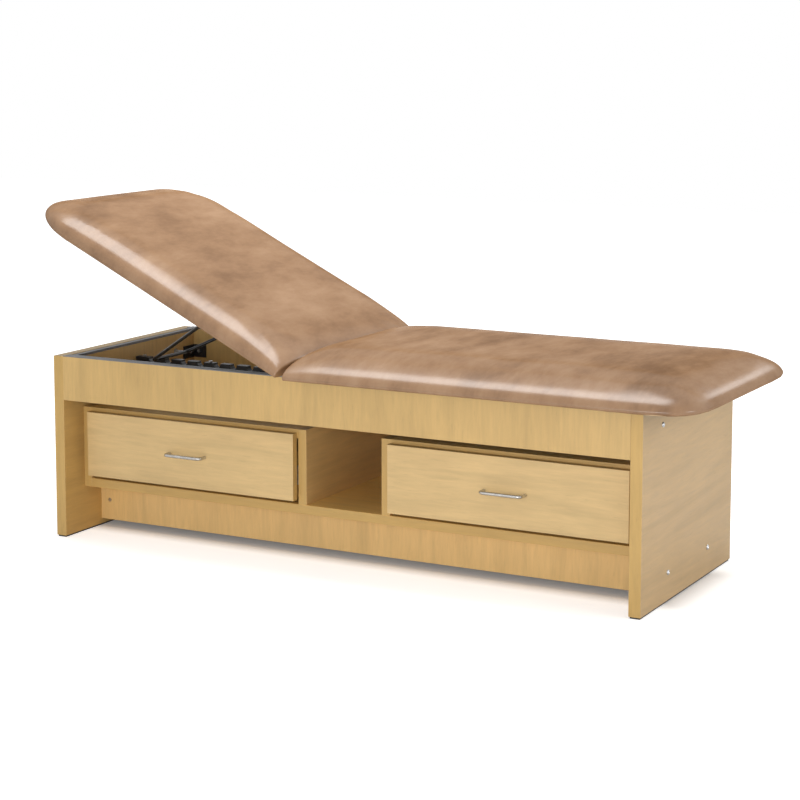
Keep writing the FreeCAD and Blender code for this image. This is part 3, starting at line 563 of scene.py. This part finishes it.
def cushion_shell(form, shrink):
    """Closed shell of the cushion: the wrap below, its rolled sides, its crown and its flat hinge
    face. The crown starts a little low, and the simulation fills it out.
    """
    bm = bmesh.new()

    def ring(inset, height=None, start=0.0):
        """Points of the plan at one inset, at a height or on the cushion's top."""
        made = []
        for x, y in ring_points(form, inset, start):
            top = float(top_height(form, np.array(inset), np.array(x)))
            z = max(top - shrink, edge_height) if height is None else height
            made.append(bm.verts.new((x, y, z)))
        return made

    def chord(points):
        """Points across the hinge end, between a ring's two ends."""
        first, last = points[0].co, points[-1].co
        shares = [share / 2 for share in crown_shares]
        shares += [1 - share / 2 for share in reversed(crown_shares)]
        return [bm.verts.new(first.lerp(last, share)) for share in shares]

    below = [ring(inset, height, start) for inset, start, height in wrap_rings]
    sides = []
    for turn in edge_turns:
        height = edge_height * (1 - math.sin(turn))
        sides.append(ring(underside_draw * (1 - math.cos(turn)), height or -wrap_thickness))
    for row in range(roll_rows + 1):
        sides.append(ring(form["roll"] * (1 - math.cos(row / roll_rows * math.pi / 2))))
    flat = half_width - form["roll"]
    crown = [ring(form["roll"] + flat * share) for share in crown_shares]
    below_loops = [points + list(reversed(chord(points))) for points in below]
    face_rows = [[points[0]] + chord(points) + [points[-1]] for points in sides[:-1]]
    face_rows.append([points[0] for points in sides[-1:] + crown]
                     + [points[-1] for points in reversed(sides[-1:] + crown)])
    bottom_loop = sides[0] + list(reversed(face_rows[0][1:-1]))
    corner_start = near_points + straight_points
    hinge_points = below_loops[0][len(below[0]):]
    close_across(bm, below[0], corner_start + corner_points - 2, hinge_points)
    close_across(bm, crown[-1], corner_start - 1, [])
    for low, high in zip(below_loops, below_loops[1:] + [bottom_loop]):
        join_loops(bm, low, high)
    for low, high in zip(sides + crown, (sides + crown)[1:]):
        join_rows(bm, low, high)
    for low, high in zip(face_rows, face_rows[1:]):
        join_rows(bm, high, low)
    bmesh.ops.remove_doubles(bm, verts=bm.verts, dist=merge_distance)
    return bm


def simulate(piece):
    """Fills the cushion out as cloth under pressure, with its underside held by the board."""
    rest = coordinates(piece.data)
    held = [int(i) for i in np.nonzero(rest[:, 2] < held_height)[0]]
    piece.vertex_groups.new(name="held").add(held, 1.0, "REPLACE")
    cloth = piece.modifiers.new("cloth", "CLOTH")
    cloth.settings.quality = simulation_quality
    cloth.settings.use_pressure = True
    cloth.settings.uniform_pressure_force = simulation_pressure
    cloth.settings.vertex_group_mass = "held"
    cloth.settings.effector_weights.gravity = 0
    cloth.point_cache.frame_start = 1
    cloth.point_cache.frame_end = simulation_frames
    for number in range(1, simulation_frames + 1):
        bpy.context.scene.frame_set(number)
    apply_modifiers(piece)
    moved = coordinates(piece.data) - rest
    size = np.linalg.norm(moved, axis=1, keepdims=True)
    near_hinge = np.exp(-rest[:, :1] / hinge_face_reach)
    cap = simulation_cap + (hinge_face_cap - simulation_cap) * near_hinge
    capped = cap * np.tanh(size / cap)
    set_coordinates(piece.data, rest + moved * capped / np.maximum(size, 1e-9))
    piece.vertex_groups.clear()
    bpy.context.scene.frame_set(1)


def pleat_underside(form, points):
    """Folds of the cover where it is drawn under the board round the outer corners."""
    x, y, z = points.T
    inset = inset_in(form, x, y)
    corner_x = x - (form["length"] - form["zone"])
    corner_y = np.abs(y) - (half_width - form["zone"])
    angle = np.arctan2(corner_y, corner_x)
    in_corner = (corner_x > 0) & (corner_y > 0)
    folded = in_corner & (z < wrap_thickness) & (inset < pleat_inset + wrap_thickness)
    fold = np.abs(np.sin(angle * pleat_count)) ** pleat_sharpness
    fold = fold * np.clip(inset / pleat_inset, 0, 1)
    points[:, 2] = z - np.where(folded, pleat_depth * fold, 0)
    return points


def shape_details(form, points):
    """Slight unevenness of hand upholstery, and sides that pull in between the corners. The
    cushion's length sets the two cushions' dents apart.
    """
    x, y, z = points.T
    share = np.clip(z / form["crown"], 0, 1)
    middle = np.sin(np.clip(x / form["length"], 0, 1) * math.pi)
    pull = side_pull * middle * (np.abs(y) / half_width) ** side_pull_focus
    points[:, 1] = y - np.sign(y) * pull
    dents = np.array([noise.noise(Vector((px * dent_scale, py * dent_scale, form["length"])))
                      for px, py in zip(x, y)])
    points[:, 2] = z + dents * dent_height * share
    return points


def turned_up(along, above):
    """x and z of a place on the flat backrest, along from the pin and above it, at rest angle."""
    c, s = math.cos(rest_angle), math.sin(rest_angle)
    return hinge_pin.x - along * c + above * s, hinge_pin.z + along * s + above * c


def in_part_frame(points, way):
    """Points of a cushion's own frame in the part's. way is 1 for the seat, -1 for the backrest."""
    placed = points + np.array([hinge_gap, 0, underside])
    if way == 1:
        placed[:, 0] = hinge_pin.x + placed[:, 0]
        return placed
    x, z = turned_up(placed[:, 0], placed[:, 2] - hinge_pin.z)
    return np.stack([x, placed[:, 1], z], axis=1)


def move_to_part(piece, way):
    set_coordinates(piece.data, in_part_frame(coordinates(piece.data), way))
    if way == -1:
        flip(piece.data)


def make_cushion(name, form, way, material):
    shell = cushion_shell(form, simulation_shrink)
    piece = linked_outward(name, shell)
    simulate(piece)
    set_coordinates(piece.data, shape_details(form, coordinates(piece.data)))
    piece.modifiers.new("subdivide", "SUBSURF").levels = 1
    apply_modifiers(piece)
    set_coordinates(piece.data, pleat_underside(form, coordinates(piece.data)))
    move_to_part(piece, way)
    piece.data.materials.append(material)
    return piece


# Pieces placed by the loose parts of the CAD nodes
def loose_parts(name):
    """Box of each loose part of a CAD node, as its lowest and highest corners."""
    bm = bmesh.new()
    bm.from_mesh(nodes[name].data)
    bmesh.ops.remove_doubles(bm, verts=bm.verts, dist=fine_distance)
    seen = set()
    boxes = []
    for start in bm.verts:
        if start in seen:
            continue
        part, waiting = [], [start]
        seen.add(start)
        while waiting:
            vertex = waiting.pop()
            part.append(vertex.co.copy())
            for edge in vertex.link_edges:
                other = edge.other_vert(vertex)
                if other not in seen:
                    seen.add(other)
                    waiting.append(other)
        points = np.array(part)
        boxes.append((Vector(points.min(0)), Vector(points.max(0))))
    bm.free()
    return boxes


def circle(bm, origin, x, radii):
    """Ring of points about the x axis through origin, with a radius for each of its sides."""
    ring = []
    for i, radius in enumerate(radii):
        turn = 2 * math.pi * i / bolt_sides
        y, z = origin.y + radius * math.cos(turn), origin.z + radius * math.sin(turn)
        ring.append(bm.verts.new((x, y, z)))
    return ring


def bolt(bm, origin, way, shank_length):
    """Domed head with a hexagonal socket on its shank. way 1 or -1 says where its head faces."""
    profile = [(-shank_length, bolt_shank_radius), (0.0, bolt_shank_radius),
               (0.0, bolt_head_radius - bolt_head_ease)]
    for turn in np.linspace(0, math.pi / 2, dome_rings):
        radius = bolt_flat_radius + (bolt_head_radius - bolt_flat_radius) * math.cos(turn)
        profile.append((bolt_head_height * math.sin(turn), radius))
    rings = [circle(bm, origin, origin.x + way * along, [radius] * bolt_sides)
             for along, radius in profile]
    sixth = math.pi / 3
    socket = [bolt_socket_radius * math.cos(sixth / 2)
              / math.cos((2 * math.pi * i / bolt_sides % sixth) - sixth / 2)
              for i in range(bolt_sides)]
    top = origin.x + way * bolt_head_height
    rings += [circle(bm, origin, x, socket) for x in (top, top - way * bolt_socket_depth)]
    for low, high in zip(rings, rings[1:]):
        join_loops(bm, low, high)
    bm.faces.new(list(reversed(rings[0])))
    bm.faces.new(rings[-1])


def make_panel_bolts(material):
    """The end panels' bolts and the kick boards' ones, with heads on the panels' outer faces."""
    panels = [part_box("end_panel_left"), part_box("end_panel_right")]
    bm = bmesh.new()
    for low, high in loose_parts("end_panel_bolts"):
        middle = (low + high) / 2
        way = 1 if middle.x > 0 else -1
        face = panels[1][1].x if way == 1 else panels[0][0].x
        tail = low.x if way == 1 else high.x
        bolt(bm, Vector((face, middle.y, middle.z)), way, abs(face - tail))
    piece = linked_outward("socket_head_bolts", bm)
    piece.data.materials.append(material)
    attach(piece, "base")
    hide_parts("end_panel_bolts")


# Dust covers
def cover_outline(form, inset):
    points = [(x, y) for x, y in ring_points(form, inset) if x > cover_hinge_inset]
    side = half_width - inset
    return [(cover_hinge_inset, -side)] + points + [(cover_hinge_inset, side)]


def turned_down(point):
    """Point of the raised backrest, put back to where it is with the backrest flat."""
    x, z = point.x - hinge_pin.x, point.z - hinge_pin.z
    c, s = math.cos(rest_angle), math.sin(rest_angle)
    return Vector((hinge_pin.x + x * c - z * s, point.y, hinge_pin.z + x * s + z * c))


def fitting_boxes(names, way):
    """Plan boxes, in a cushion's own frame, of what is screwed to its board."""
    boxes = []
    for name in names:
        for low, high in loose_parts(name):
            corners = [Vector((x, y, z)) for x in (low.x, high.x) for y in (low.y, high.y)
                       for z in (low.z, high.z)]
            if way == -1:
                corners = [turned_down(corner) for corner in corners]
            xs = [way * (corner.x - hinge_pin.x) - hinge_gap for corner in corners]
            ys = [corner.y for corner in corners]
            boxes.append((min(xs), max(xs), min(ys), max(ys)))
    return boxes


def gap_to(box, x, y):
    """Distance in plan from a point to a box, 0 inside it."""
    return math.hypot(max(box[0] - x, x - box[1], 0), max(box[2] - y, y - box[3], 0))


def cover_mesh(form, fittings):
    """Flat triangles inside the cover's outline, left out where the fittings are."""
    loops = [cover_outline(form, cover_inset), cover_outline(form, cover_inset + cover_hem)]
    for low_x, high_x, low_y, high_y in fittings:
        left, right = low_x - cover_clearance, high_x + cover_clearance
        front, back = low_y - cover_clearance, high_y + cover_clearance
        loops.append([(left, front), (right, front), (right, back), (left, back)])
    places, edges = [], []
    for loop in loops:
        start = len(places)
        places += [Vector(point) for point in loop]
        edges += [(start + i, start + (i + 1) % len(loop)) for i in range(len(loop))]
    for x in np.arange(cover_cell, form["length"], cover_cell):
        for y in np.arange(-half_width + cover_cell, half_width, cover_cell):
            if inset_in(form, x, y) > cells_inset:
                places.append(Vector((float(x), float(y))))
    triangles = mathutils.geometry.delaunay_2d_cdt(places, edges, [], 0, fine_distance)
    corners, faces = triangles[0], triangles[2]
    kept = []
    for face in faces:
        middle = sum((corners[i] for i in face), Vector((0, 0))) / len(face)
        inside = inset_in(form, middle.x, middle.y) > cover_inset and middle.x > cover_hinge_inset
        if inside and all(gap_to(box, middle.x, middle.y) > cover_clearance for box in fittings):
            kept.append(face)
    return corners, kept


def rise_smoothly(value):
    share = min(max(value, 0.0), 1.0)
    return share * share * (3 - 2 * share)


def cover_height(form, well, fittings, x, y):
    """Height of the cover under the board: lower along its hem, and sagging a little where neither
    the board's edge nor a fitting is near.
    """
    start, end, half = well
    open_share = rise_smoothly(min(x - start, end - x, half - abs(y)) / sag_slope)
    for box in fittings:
        open_share *= rise_smoothly(gap_to(box, x, y) / fitting_slope)
    hem = hem_drop if inset_in(form, x, y) < hem_reach and x > hem_start else 0.0
    return -cover_thickness / 2 - hem - cover_sag * open_share


def make_cover(cushion, form, way, well, fittings, body, material):
    name = cushion + "_dust_cover"
    corners, faces = cover_mesh(form, fittings)
    used = sorted({i for face in faces for i in face})
    bm = bmesh.new()
    made = {}
    for i in used:
        x, y = corners[i]
        made[i] = bm.verts.new((x, y, cover_height(form, well, fittings, x, y)))
    for face in faces:
        bm.faces.new([made[i] for i in face])
    area = sum(face.calc_area() for face in bm.faces)
    cover = linked_outward(name, bm)
    solidify = cover.modifiers.new("solidify", "SOLIDIFY")
    solidify.thickness = cover_thickness
    solidify.offset = 0
    apply_modifiers(cover)
    move_to_part(cover, way)
    cover.data.materials.append(material)
    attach(cover, body)
    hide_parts(name)


def make_staples(cushion, form, way, fittings, body, material):
    """Wire staples along the cover's hem, one at every pitch except where a fitting is."""
    path = [Vector(point) for point in cover_outline(form, cover_inset + staple_inset)]
    bm = bmesh.new()
    travelled = staple_pitch / 2
    for start, end in zip(path, path[1:]):
        step = end - start
        while travelled < step.length:
            middle = start + step.normalized() * travelled
            travelled += staple_pitch
            if any(gap_to(box, middle.x, middle.y) < staple_length for box in fittings):
                continue
            along = step.normalized() * staple_length / 2
            across = Vector((-step.y, step.x)).normalized() * staple_wire / 2
            loops = []
            for level, width in staple_levels:
                loops.append([bm.verts.new((middle.x + a * along.x + b * width * across.x,
                                            middle.y + a * along.y + b * width * across.y, level))
                              for a, b in ((-1, -1), (1, -1), (1, 1), (-1, 1))])
            bm.faces.new(loops[0])
            for low, high in zip(loops, loops[1:]):
                join_loops(bm, low, high)
            bm.faces.new(list(reversed(loops[-1])))
        travelled -= step.length
    staples = linked_outward(cushion + "_staples", bm)
    move_to_part(staples, way)
    staples.data.materials.append(material)
    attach(staples, body)


# Camera, world, lamps and floor
def make_camera():
    data = bpy.data.cameras.new("camera")
    data.lens = camera_lens
    data.sensor_width = camera_sensor
    data.shift_y = camera_shift
    camera = bpy.data.objects.new("camera", data)
    camera.location = camera_place
    camera.rotation_euler = (math.pi / 2 - camera_pitch, 0, camera_yaw)
    bpy.context.scene.collection.objects.link(camera)
    bpy.context.scene.camera = camera


def make_world():
    """World that looks white, and lights the part at a plain level."""
    world = bpy.data.worlds.new("studio")
    bpy.context.scene.world = world
    world.use_nodes = True
    tree = world.node_tree
    rays = tree.nodes.new("ShaderNodeLightPath")
    seen = rays.outputs["Is Camera Ray"]
    for ray in ("Is Glossy Ray", "Is Transmission Ray"):
        either = tree.nodes.new("ShaderNodeMath")
        either.operation = "MAXIMUM"
        tree.links.new(seen, either.inputs[0])
        tree.links.new(rays.outputs[ray], either.inputs[1])
        seen = either.outputs[0]
    strength = tree.nodes.new("ShaderNodeMapRange")
    strength.inputs["To Min"].default_value = world_level
    strength.inputs["To Max"].default_value = 1.0
    tree.links.new(seen, strength.inputs["Value"])
    background = tree.nodes["Background"]
    background.inputs["Color"].default_value = (1, 1, 1, 1)
    tree.links.new(strength.outputs["Result"], background.inputs["Strength"])


def make_lamp(name, place, aim, size, power):
    data = bpy.data.lights.new(name, "AREA")
    data.shape = "RECTANGLE"
    data.size, data.size_y = size
    data.energy = power
    lamp = bpy.data.objects.new(name, data)
    lamp.location = place
    lamp.rotation_euler = (Vector(aim) - Vector(place)).to_track_quat("-Z", "Y").to_euler()
    bpy.context.scene.collection.objects.link(lamp)


def distance_to_plinth(tree):
    """Distance on the floor from the rectangle that the kick boards and end panels close off."""
    inputs = {"Vector": tree.place, "Location": (-plinth_middle, 0, 0)}
    centred = tree.add("ShaderNodeMapping", inputs).outputs[0]
    size = tree.vector_math("ABSOLUTE", centred).outputs[0]
    over = tree.vector_math("SUBTRACT", size, (*plinth_half, 0)).outputs[0]
    outside = tree.vector_math("MAXIMUM", over).outputs[0]
    return tree.vector_math("LENGTH", outside).outputs["Value"]


def make_floor():
    bm = bmesh.new()
    bmesh.ops.create_grid(bm, x_segments=4, y_segments=4, size=floor_half)
    floor = linked("floor", bm)
    tree = Tree("studio_floor")
    tone = tree.ramp(tree.noise(tree.place, 3.0), (0.3, 0.90), (0.7, 0.93))
    tree.finish(tone, 0.9, Specular_IOR_Level=0.0)
    away = distance_to_plinth(tree)
    # Painted shadow: the added white is least at the plinth and grows outwards
    near = tree.levels(away, (0.0, shadow_reach), out=near_white)
    far = tree.levels(away, far_reach, out=far_white)
    rays = tree.add("ShaderNodeLightPath", {})
    share = tree.math("MULTIPLY", rays.outputs["Is Camera Ray"], tree.math("ADD", near, far))
    white = tree.add("ShaderNodeEmission", {"Color": (1, 1, 1, 1), "Strength": share})
    both = tree.add("ShaderNodeAddShader", {0: tree.shader.outputs[0], 1: white.outputs[0]})
    tree.put(tree.nodes["Material Output"].inputs["Surface"], both.outputs[0])
    floor.data.materials.append(tree.material)


bpy.context.scene.view_settings.view_transform = "Standard"
make_camera()
make_world()
make_floor()
for name, (place, aim, size, power) in lamps.items():
    make_lamp(name, place, aim, size, power)

# Materials of the CAD nodes
for name, (tone, face_axis, grain_axis, edge_axis, board_nodes) in boards.items():
    paint(laminate(name, tone, face_axis, grain_axis, edge_axis), *board_nodes)
paint(plywood(), "seat_board", "backrest_board", "cabinet_back", "left_drawer_bottom",
      "right_drawer_bottom", "rack_rail")
paint(strip_plastic(), "rim_strips")
paint(glide_plastic(), "floor_glides")
paint(black_paint(), "rack", "prop_frame", "prop_brackets", "prop_clips", "corner_brackets",
      "seat_brackets", "seat_hinge_leaves", "backrest_hinge_leaves")
zinc = zinc_plate()
paint(zinc, "barrel_nuts", "end_bolt_nuts", "bracket_screws", "rack_screws", "seat_screws",
      "backrest_screws", "hinge_pins", "left_cabinet_runners", "right_cabinet_runners",
      "left_middle_runners", "right_middle_runners", "left_drawer_runners", "right_drawer_runners",
      "left_drawer_handle_screws", "right_drawer_handle_screws")
paint(satin_nickel(), "left_drawer_handle", "right_drawer_handle")

# Bolts, dust covers and staples
make_panel_bolts(zinc)
cloth = dust_cloth()
for cushion, form, way, well, fitting_names, body in (
        ("seat", seat_form, 1, seat_well, ["seat_hinge_leaves", "seat_brackets"], "base"),
        ("backrest", backrest_form, -1, backrest_well, ["backrest_hinge_leaves", "prop_brackets"],
         "backrest")):
    fittings = fitting_boxes(fitting_names, way)
    make_cover(cushion, form, way, well, fittings, body, cloth)
    make_staples(cushion, form, way, fittings, body, zinc)

# Cushions
covering = vinyl()
seat = make_cushion("seat_pad", seat_form, 1, covering)
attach(seat, "base")
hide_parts("seat_cushion")
backrest = make_cushion("backrest_pad", backrest_form, -1, covering)
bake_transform(backrest)
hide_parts("backrest_cushion")
